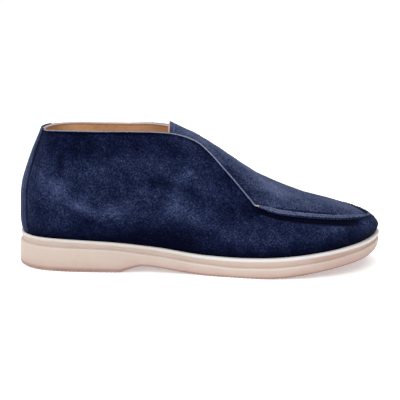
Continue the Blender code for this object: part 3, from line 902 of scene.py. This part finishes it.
def wallTone(point):
    x, climb, drop = heights(point)
    tone = bothSides(patchTone, "Patches", point)
    tone = tone - 0.38 * ramp(climb, 16, 1) - 0.16 * ramp(climb, 7, 0)      # painted shade above the sole, where its rim keeps the light off
    tone = tone + 0.18 * ramp(x, 112, 134) * ramp(climb, 2, 9)              # pale toe
    tone = tone + 0.15 * ramp(x, 122, 134) * ramp(drop, 9, 3)
    # painted shade: darker high on the quarters and within about 26 mm under the edge
    tone = tone - 0.16 * ramp(point[..., 2], 78 * mm, 100 * mm) - 0.12 * ramp(drop, 26, 10)
    # painted shade in the channel under the bead, fading out at the toe, and a lighter painted shade just
    # under the edge line
    channel = ramp(point[..., 0], throatX - 6 * mm, throatX + 6 * mm) * (1 - 0.9 * ramp(x, 108, 130))
    tone = tone - 0.75 * channel * ramp(drop, 6.0, 3.6) - 0.14 * ramp(drop, 3.4, 1.6)
    rim = np.exp(-(drop + rimBend(point) / mm - 1.8) ** 2)                  # painted shade: a dark line under the bound edge
    return tone - 0.2 * rim * (1 - beadAmount(point))


def cupRise(turn):
    # where the upper ends, inside the sole's cup
    bellyX, _ = insetEdge(turn, shoe["bellyInset"])
    return -1 - (shoe["cupDepth"] - shoe["gap"]) / bellyRise(bellyX)


def wallForm(u, v):
    turn = turnAround(u)
    share = v / upperWall["footRows"]
    climb = (v - upperWall["footRows"]) / (1 - upperWall["footRows"])
    rise = np.where(share < 1, cupRise(turn) * (1 - share), wallTop(turn) * climb)
    point, normal, _ = onLast(turn, rise)
    return point + normal * (wingLift(point) + wallRelief(point))[:, None], wallTone(point)


wallSuede = gridPiece("upperSuede", upperWall, wallForm)
thicken(wallSuede, shoe["suede"])
wallSuede.data.materials.append(suede)
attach(wallSuede, "root")
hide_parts("upper")

upperLining = {"columns": 260, "rows": 40, "thickness": 0.9 * mm, "gap": 0.1 * mm, "throatDrop": 4.5 * mm}
liningTop = riseTable(lambda x: topEdge(x) - 0.8 * mm - upperLining["throatDrop"] * ramp(
    x, throatX - 14 * mm, throatX - 4 * mm))


def liningForm(u, v):
    turn = turnAround(u)
    foot = cupRise(turn)
    point, normal, _ = onLast(turn, foot + (liningTop(turn) - foot) * v)
    offset = wingLift(point) + wallRelief(point) - shoe["suede"] - upperLining["gap"]
    # painted light where the inside lies in shade high up towards the tongue; paler also behind the heel, and
    # a little darker elsewhere
    lit = ramp(point[:, 0], -84 * mm, -40 * mm) * ramp(point[:, 2], 84 * mm, 96 * mm)
    back = ramp(-point[:, 0], 88 * mm, 112 * mm)
    return point + normal * offset[:, None], 0.26 * lit + 0.24 * back - 0.06 * (1 - lit)


liningPiece = gridPiece("upperLining", upperLining, liningForm)
thicken(liningPiece, upperLining["thickness"])
liningPiece.data.materials.append(lining)
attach(liningPiece, "root")
print("wall and lining made")

# apron and tongue; folds and patches are x, y, reach, width (mm), lean in degrees, depth (mm) or tone
apronTongue = {
    "columns": 380, "rows": 66, "rim": 0.3 * mm, "sunk": 0.8 * mm,
    "folds": (
        (20, -6, 26, 6, 78, -.8), (32, -10, 22, 5, 74, .55), (4, 6, 22, 6, 82, .35),
        (46, 4, 24, 6, 86, -.45), (60, -8, 20, 7, 80, .35), (24, -26, 10, 3.5, 40, -.45),
        (44, -26, 9, 3, 24, -.4), (24, 26, 10, 3.5, -40, -.45), (76, -22, 14, 4, 12, -.3),
        (76, 24, 14, 4, -12, -.3), (92, 2, 20, 8, 84, .3)),
    "patches": (
        (-5, -14, 15, 10, 0, .33), (13, -13, 9, 4, -30, -.15), (30, -16, 12, 9, 20, -.1),
        (29, -26, 11, 4, -20, -.2), (53, -9, 7, 5, 0, .14), (35, -3, 10, 5, 10, .2),
        (52, -14, 11, 7, 20, .2), (56, -23, 9, 5, 0, .12), (62, -18, 12, 6, 20, .14),
        (6, -14, 10, 6, 30, .06), (70, -10, 20, 7, 10, .06), (100, -20, 16, 7, 12, -.08),
        (114, -6, 12, 8, 40, .1), (44, -30, 18, 4, 16, -.14), (30, 14, 20, 8, -30, .14),
        (60, 20, 18, 8, -12, .1), (90, 14, 18, 8, -10, -.08)),
}


def apronUnder(x):
    # how far the apron reaches down behind the wings and a little way past the throat
    return np.maximum(0.9 * overlapAt(x), 3.5 * mm * (1 - ramp(x, throatX + 12 * mm, throatX + 24 * mm)))


apronEdge = riseTable(lambda x: topEdge(x) + 0.2 * mm - apronUnder(x))
tongueShare = shareAt(tongueTopX)


def apronRelief(point):
    # folds and waves fade towards the seam and the top edge; the seam draws the apron in
    x, y, z = (point[..., i] for i in range(3))
    above = (z - topEdge(x)) / mm
    free = ramp(above, 1, 9) * ramp(x, tongueTopX, tongueTopX + 14 * mm)
    drawn = apronTongue["sunk"] * beadAmount(point) * ramp(above, 4.5, 0.5)
    return (foldRelief(apronTongue["folds"], x, y) + softWaves(point)) * free - drawn


def apronTone(point):
    x, y, z = (point[..., i] for i in range(3))
    above = (z - topEdge(x)) / mm
    narrow = 1 - 0.65 * ramp(x, 95 * mm, 125 * mm)
    tone = patchTone(apronTongue["patches"], x, y)
    tone = tone - 0.5 * beadAmount(point) * ramp(above, 3.2 * narrow, 1.8 * narrow)     # painted shade beside the bead
    tone = tone - 0.24 * (1 - beadAmount(point)) * ramp(above, 5, 0.5)                  # painted shade beside the wings
    # and a broader band of painted shade on the tongue beside the wings
    tone = tone - 0.1 * ramp(above, 13, 4) * ramp(x, 2 * mm, 20 * mm) * ramp(x, 44 * mm, 30 * mm)
    # painted highlight: lighter along the crest, which faces the light from above
    return tone + 0.1 * ramp(z, ridgeHeight(x) - 9 * mm, ridgeHeight(x))


def apronSurface(u, v):
    # points, ways out and relief of the apron, from the tongue's top edge forwards and from the seam inwards
    turn = turnAround(tongueShare + (1 - 2 * tongueShare) * u)
    edge = apronEdge(turn)
    point, normal, _ = onLast(turn, edge + (1 - edge) * v)
    return point, normal, apronRelief(point)


def apronForm(u, v):
    point, normal, relief = apronSurface(u, v)
    return point + normal * relief[:, None], apronTone(point)


apron = gridPiece("apronTongue", apronTongue, apronForm)
thicken(apron, shoe["suede"], apronTongue["rim"])
apron.data.materials.append(apronLitSuede)
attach(apron, "root")
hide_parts("apron_tongue")

apronInside = {"columns": 220, "rows": 36, "thickness": 0.8 * mm, "rim": 0.2 * mm, "gap": 0.08 * mm,
               "margin": 0.004, "seamDrop": 0.9 * mm}


def apronLiningForm(u, v):
    point, normal, relief = apronSurface(apronInside["margin"] + (1 - 2 * apronInside["margin"]) * u, v)
    sunk = shoe["suede"] + apronInside["gap"] + apronInside["seamDrop"] * ramp(v, 0.12, 0)
    return point + normal * (relief - sunk)[:, None]


apronLining = gridPiece("apronLining", apronInside, apronLiningForm)
thicken(apronLining, apronInside["thickness"], apronInside["rim"])
apronLining.data.materials.append(lining)
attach(apronLining, "root")

tongueEdge = {
    "columns": 240, "rows": 14, "steps": 260, "width": 0.5 * mm, "depth": 1.3 * mm, "seat": -0.95 * mm,
    "stitches": {"behind": 3.4 * mm, "pitch": 2.6 * mm, "lean": 0, "margin": 12 * mm,
                 "size": (1.7 * mm, 0.5 * mm, 0.45 * mm)},
}


def tongueArc(behind):
    # up the outer side, over the ridge and down the inner side, at a distance behind the tongue's top edge
    turn = turnAt(tongueTopX + behind)
    climb = np.linspace(apronEdge(turn), 1, tongueEdge["steps"])
    turns = np.where(np.arange(2 * len(climb) - 1) < len(climb), turn, 2 * np.pi - turn)
    point, normal, _ = onLast(turns, np.concatenate([climb, climb[-2::-1]]))
    return lineThrough(point, normal)


def tongueProfile(angle, mark, fromEnd, point):
    size = np.clip(fromEnd / (1.2 * mm), 0, 1) ** 0.5 * (1 + 0.06 * ripple(mark, 5 * mm, 6.0))
    outward = tongueEdge["seat"] + tongueEdge["depth"] * squared(np.cos(angle), 0.7) * size
    return outward, tongueEdge["width"] / 2 * squared(np.sin(angle), 0.7) * size, np.full_like(mark, 0.1)


tongueBinding = tubePiece("tongueBinding", tongueArc(0), tongueProfile, tongueEdge)
smoothByAngle(tongueBinding, 60)
tongueBinding.data.materials.append(binding)
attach(tongueBinding, "root")
tongueStitches = stitchPiece("tongueStitches", stitchPlaces(
    tongueArc(tongueEdge["stitches"]["behind"]), tongueEdge["stitches"]))
tongueStitches.data.materials.append(paleThread)
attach(tongueStitches, "root")
print("apron and tongue made")

# raised seam round the apron
seamBead = {
    "columns": 1000, "rows": 24, "width": 4.2 * mm, "height": 1.55 * mm, "below": 0.2 * mm,
    "split": 0.22 * mm, "lean": -0.25 * mm, "seat": 0.3 * mm, "endSink": 0.9 * mm, "pucker": 0.08 * mm,
    "toePucker": 0.3 * mm, "pitch": 2.6 * mm, "fuzz": 0.42 * mm, "fuzzSize": 0.9 * mm,
}


def seamLine(below, offset, steps):
    # along the seam from throat to throat round the toe
    start = shareAt(throatX + 0.3 * mm)
    return underEdge(below, turnAround(np.linspace(start, 1 - start, steps)), offset)


def beadProfile(angle, mark, fromEnd, point):
    # two raw edges sewn together, standing off the wall and drawn in by each stitch
    x = point[:, 0]
    full = (0.58 + 0.42 * ramp(fromEnd, 0, 13 * mm)) * (1 - 0.42 * ramp(x, 120 * mm, 137 * mm))
    outward, sideways = squared(np.cos(angle), 0.75), squared(np.sin(angle), 0.8)
    beat = 2 * np.pi * mark / seamBead["pitch"]
    pinch = np.sin(beat) + 0.4 * ripple(mark, seamBead["pitch"] * 2.7, 1.0)
    drawn = seamBead["pucker"] + (seamBead["toePucker"] - seamBead["pucker"]) * ramp(x, 104 * mm, 132 * mm)
    uneven = ripple(mark, 11 * mm, 2.0)
    width = seamBead["width"] / 2 * full + drawn * pinch * np.sin(angle) * 0.8 + 0.12 * mm * uneven
    height = seamBead["height"] * full + drawn * 0.8 * pinch + 0.1 * mm * uneven
    split = seamBead["split"] * np.exp(-(sideways * width / (0.3 * mm)) ** 2) * (outward > 0)
    lean = seamBead["lean"] * np.clip(outward, 0, 1) * full
    loops = 0.1 * np.sin(beat + 1.0)      # the flanks follow the stitches
    # painted shade at both feet of the bead, waving with the stitch loops
    tone = 0.4 - 0.78 * ramp(loops - sideways, 0.5, 0.98) - 0.6 * ramp(loops + sideways, 0.66, 0.98)
    tone = tone + 0.14 * np.exp(-((sideways - 0.35) / 0.22) ** 2)     # pale cut edges
    tone = tone + 0.06 * np.exp(-((sideways + 0.3) / 0.2) ** 2)
    # painted shade in the slit between the edges and in the dips each stitch draws in
    tone = tone - 0.3 * (split > 0.12 * mm) - 0.9 * drawn / mm * np.clip(-pinch, 0, 1.2)
    close = np.clip(fromEnd / (1.2 * mm), 0, 1) ** 0.5            # both ends close to a point
    seat = seamBead["seat"] - seamBead["endSink"] * ramp(fromEnd, 9 * mm, 0)
    return seat + (height * outward - split) * close, (width * sideways + lean) * close, tone


def roughen(piece, size, depth):
    # fuzz: moves the surface in and out by a fine cloud
    cloud = bpy.data.textures.new(piece.name + "Fuzz", "CLOUDS")
    cloud.noise_scale = size
    cloud.noise_depth = 2
    wave = piece.modifiers.new("fuzz", "DISPLACE")
    wave.texture = cloud
    wave.texture_coords = "LOCAL"
    wave.strength = depth
    wave.mid_level = 0.5
    bpy.context.view_layer.objects.active = piece
    bpy.ops.object.modifier_apply(modifier=wave.name)


bead = tubePiece("seamBead", seamLine(seamBead["below"], 0, 1500), beadProfile, seamBead)
roughen(bead, seamBead["fuzzSize"], seamBead["fuzz"])
smoothByAngle(bead, 70)
bead.data.materials.append(beadSuede)
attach(bead, "root")

# stitches in the channel under the bead
seamStitches = {"below": 3.1 * mm, "sink": -1.05 * mm, "pitch": 2.6 * mm, "lean": 0.5, "margin": 10 * mm,
                "size": (1.5 * mm, 0.9 * mm, 0.7 * mm)}
channel = stitchPiece("channelStitches", stitchPlaces(
    seamLine(seamStitches["below"], seamStitches["sink"], 1200), seamStitches))
channel.data.materials.append(channelThreadInShade)
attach(channel, "root")

# a short bar of cream thread where each wing meets the bead
throatBar = {"ahead": 0.6 * mm, "below": 0.6 * mm, "proud": 0.55 * mm, "slope": 0.35,
             "size": (3.4 * mm, 0.75 * mm, 0.7 * mm)}
barPlaces = []
for side in (1, -1):
    turn = np.array([turnAt(throatX + throatBar["ahead"]) * side % (2 * np.pi)])
    point, normal, along = onLast(turn, riseAt(turn, lambda x: topEdge(x) - throatBar["below"]))
    spot = point[0] + normal[0] * (wingLift(point)[0] + throatBar["proud"])
    way = unit(along[0] * side * (1, 1, throatBar["slope"]))
    barPlaces.append((spot, (way, unit(np.cross(normal[0], way)), normal[0]), throatBar["size"]))
bars = stitchPiece("throatBars", barPlaces)
bars.data.materials.append(creamThread)
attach(bars, "root")
print("seam bead made")

# bound edge of collar and wings; how far it reaches down outside, outside on the wings, and inside
edgeBinding = {
    "columns": 800, "rows": 24, "cap": 0.2 * mm, "proud": 0.16 * mm, "outside": 0.85 * mm, "wing": 1.4 * mm,
    "inside": 1.7 * mm, "below": 0.4 * mm, "wingTone": 0.84, "fuzz": 0.16 * mm, "fuzzSize": 0.8 * mm,
}


def bindProfile(angle, mark, fromEnd, point):
    # a strip folded over the edge: hardly any of it outside, a pale band inside the collar
    x = point[:, 0]
    wing = ramp(x, tongueTopX + 18 * mm, tongueTopX + 52 * mm)
    wide = ramp(x, tongueTopX - 4 * mm, tongueTopX + 14 * mm)         # reaches lower along the wings
    close = np.clip(fromEnd / (1.5 * mm), 0, 1) ** 0.5
    outward, sideways = squared(np.cos(angle), 0.6), squared(np.sin(angle), 0.6)
    half = shoe["wall"] / 2 + edgeBinding["proud"] + 0.05 * mm * ripple(mark, 5 * mm, 3.0)
    drop = edgeBinding["outside"] + (edgeBinding["wing"] - edgeBinding["outside"]) * wide
    drop = drop + (edgeBinding["inside"] - drop) * ramp(-outward, -0.2, 0.6)
    tall = np.where(sideways > 0, edgeBinding["cap"], drop) + 0.08 * mm * ripple(mark, 7 * mm, 4.0)
    tone = 0.1 + 0.26 * ramp(outward, -0.8, -0.3) + 0.28 * ramp(outward, -0.1, 0.5)
    tone = tone + (edgeBinding["wingTone"] - tone) * wing * ramp(outward, -0.95, -0.5)      # blue there
    # darker in uneven stretches on the outer face of the binding along the inner side, not on the wings
    darkStretches = ramp(ripple(mark, 23 * mm, 5.0), -0.4, 0.8) * np.exp(-((outward - 0.55) / 0.35) ** 2)
    tone = tone + 0.45 * (point[:, 1] > 0) * darkStretches * (1 - wing)
    return half * outward * close, tall * sideways * close, tone


# from the outer throat back round the heel to the inner one
bindEnd = shareAt(throatX + 1.0 * mm)
bindTurns = turnAround(np.mod(np.linspace(-bindEnd, bindEnd, 1800), 1.0))
bindLine = underEdge(edgeBinding["below"], bindTurns, -shoe["wall"] / 2)
bound = tubePiece("edgeBinding", bindLine, bindProfile, edgeBinding)
roughen(bound, edgeBinding["fuzzSize"], edgeBinding["fuzz"])
smoothByAngle(bound, 60)
bound.data.materials.append(binding)
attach(bound, "root")
print("edge binding made")

# back stay
backStay = {
    "columns": 60, "rows": 150, "turn": 0.34, "bottom": -0.85, "taper": 0.12, "fold": 0.42, "foldFrom": 0.86,
    "thickness": 0.9 * mm, "rim": 0.25 * mm, "lift": 0.25 * mm, "roundOff": 0.35 * mm, "sideFrom": 0.9,
    "stitches": {"turn": 0.8, "bottom": -0.8, "pitch": 3.0 * mm, "lean": 0, "margin": 0,
                 "size": (2.1 * mm, 0.6 * mm, 0.5 * mm)},
}
stayTop = riseTable(topEdge)


def stayTaper(v):
    return 1 - backStay["taper"] * ramp(v, 0.55, 0.9)


def stayForm(u, v):
    # up the outside and folded over the top of the collar
    turn = np.mod(backStay["turn"] * (2 * u - 1) * stayTaper(v), 2 * np.pi)
    climb = np.minimum(v / backStay["foldFrom"], 1)
    over = np.clip((v - backStay["foldFrom"]) / (1 - backStay["foldFrom"]), 0, 1)
    rise = backStay["bottom"] + (stayTop(turn) - backStay["bottom"]) * climb
    point, normal, _ = onLast(turn, rise)
    upward = unit(point - onLast(turn, rise - 0.01)[0])
    angle = over * backStay["fold"] * np.pi
    side = np.clip((np.abs(2 * u - 1) - backStay["sideFrom"]) / (1 - backStay["sideFrom"]), 0, 1)
    reach = shoe["wall"] / 2 + 0.35 * mm + backStay["thickness"] * 0.7
    offset = reach * squared(np.cos(angle), 0.6) - shoe["wall"] / 2
    offset = offset - backStay["roundOff"] * side ** 2 * np.cos(angle)
    lift = backStay["lift"] * np.sin(angle)
    # painted shade darkens the stay's edges where they roll down to the wall; the rest is a little lighter
    return point + normal * offset[:, None] + upward * lift[:, None], 0.12 - 0.25 * side


stay = gridPiece("backStay", backStay, stayForm)
thicken(stay, backStay["thickness"], backStay["rim"])
stay.data.materials.append(staySuede)
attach(stay, "root")
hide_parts("back_stay")


def stayLine(side):
    # up the stay beside its edge
    turn = backStay["turn"] * backStay["stitches"]["turn"] * side
    top, bottom, first = stayTop(turn), backStay["bottom"], backStay["stitches"]["bottom"]
    rise = first + (top - first) * np.linspace(0.02, 0.97, 500)
    taper = stayTaper((rise - bottom) / (top - bottom) * backStay["foldFrom"])
    point, normal, _ = onLast(np.mod(turn * taper, 2 * np.pi), rise)
    return lineThrough(point + normal * (0.37 * mm + backStay["thickness"] * 0.7), normal)


stayPlaces = [place for side in (-1, 1) for place in stitchPlaces(stayLine(side), backStay["stitches"])]
stayStitches = stitchPiece("stayStitches", stayPlaces)
stayStitches.data.materials.append(navyThread)
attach(stayStitches, "root")
print("back stay made")

# floor, light and camera
studio = {
    "camera": (0, -620, 197), "aim": (0, 0, 50.5), "roll": 0.45, "lens": 71.54,
    "floorSize": 60.0, "floorGlow": 0.32,
    "sky": ((0.0, 1.02), (0.27, 1.02), (0.45, 0.42)),      # brightness by height
    "sun": {"strength": 2.5, "angle": 80, "from": (-0.25, -0.35, 1.0)},
    "softboxes": (
        # place, aim, size (m), power (W)
        ((-0.5, -1.5, 0.75), (0, 0, 0.06), (1.0, 0.8), 2),
    ),
}
bpy.ops.object.select_all(action="DESELECT")
bpy.ops.mesh.primitive_plane_add(size=studio["floorSize"], location=(0, 0, 0))
floor = bpy.context.object
floor.name = "floor"
floorMaterial, floorTree, floorShader, floorPlace = startMaterial("studio_floor", {
    "Roughness": 0.9, "Specular IOR Level": 0.1, "Emission Color": (1, 1, 1, 1),
    "Emission Strength": studio["floorGlow"]})
floorColour = rampColour(noise(floorPlace, 0.4), ((0, .9, .9, .9), (1, .92, .92, .92)))
floorTree.links.new(floorColour, floorShader.inputs["Base Color"])
floor.data.materials.append(floorMaterial)

world = bpy.data.worlds.new("studio")
bpy.context.scene.world = world
world.use_nodes = True
skyTree = world.node_tree
background = skyTree.nodes["Background"]
upwards = addNode(skyTree, "SeparateXYZ", {0: addNode(skyTree, "TexCoord").outputs["Generated"]}).outputs[2]
skyColour = rampColour(upwards, [(height, level, level, level) for height, level in studio["sky"]])
skyTree.links.new(skyColour, background.inputs[0])


def lampTurn(direction):
    return direction.to_track_quat("-Z", "Y").to_euler()


overhead = bpy.data.lights.new("overhead", "SUN")
overhead.energy = studio["sun"]["strength"]
overhead.angle = np.radians(studio["sun"]["angle"])
addObject("overhead", overhead).rotation_euler = lampTurn(-Vector(studio["sun"]["from"]))
for i, (position, aim, size, power) in enumerate(studio["softboxes"]):
    light = bpy.data.lights.new("softbox" + str(i + 1), "AREA")
    light.shape = "RECTANGLE"
    light.size, light.size_y = size
    light.energy = power
    lamp = addObject(light.name, light)
    lamp.location = position
    lamp.rotation_euler = lampTurn(Vector(aim) - Vector(position))

cameraData = bpy.data.cameras.new("camera")
cameraData.lens = studio["lens"]
cameraData.sensor_width = 36
cameraData.clip_start = 0.01
cameraData.clip_end = 100
camera = addObject("camera", cameraData)
eye = Vector(studio["camera"]) * mm
forward = (Vector(studio["aim"]) * mm - eye).normalized()
right = forward.cross(Vector((0, 0, 1))).normalized()
upright = right.cross(forward)
roll = np.radians(studio["roll"])
cameraX = right * np.cos(roll) + upright * np.sin(roll)
cameraY = upright * np.cos(roll) - right * np.sin(roll)
camera.matrix_world = Matrix.Translation(eye) @ Matrix((cameraX, cameraY, -forward)).transposed().to_4x4()
bpy.context.scene.camera = camera
bpy.context.scene.view_settings.view_transform = "Standard"
print("studio made")
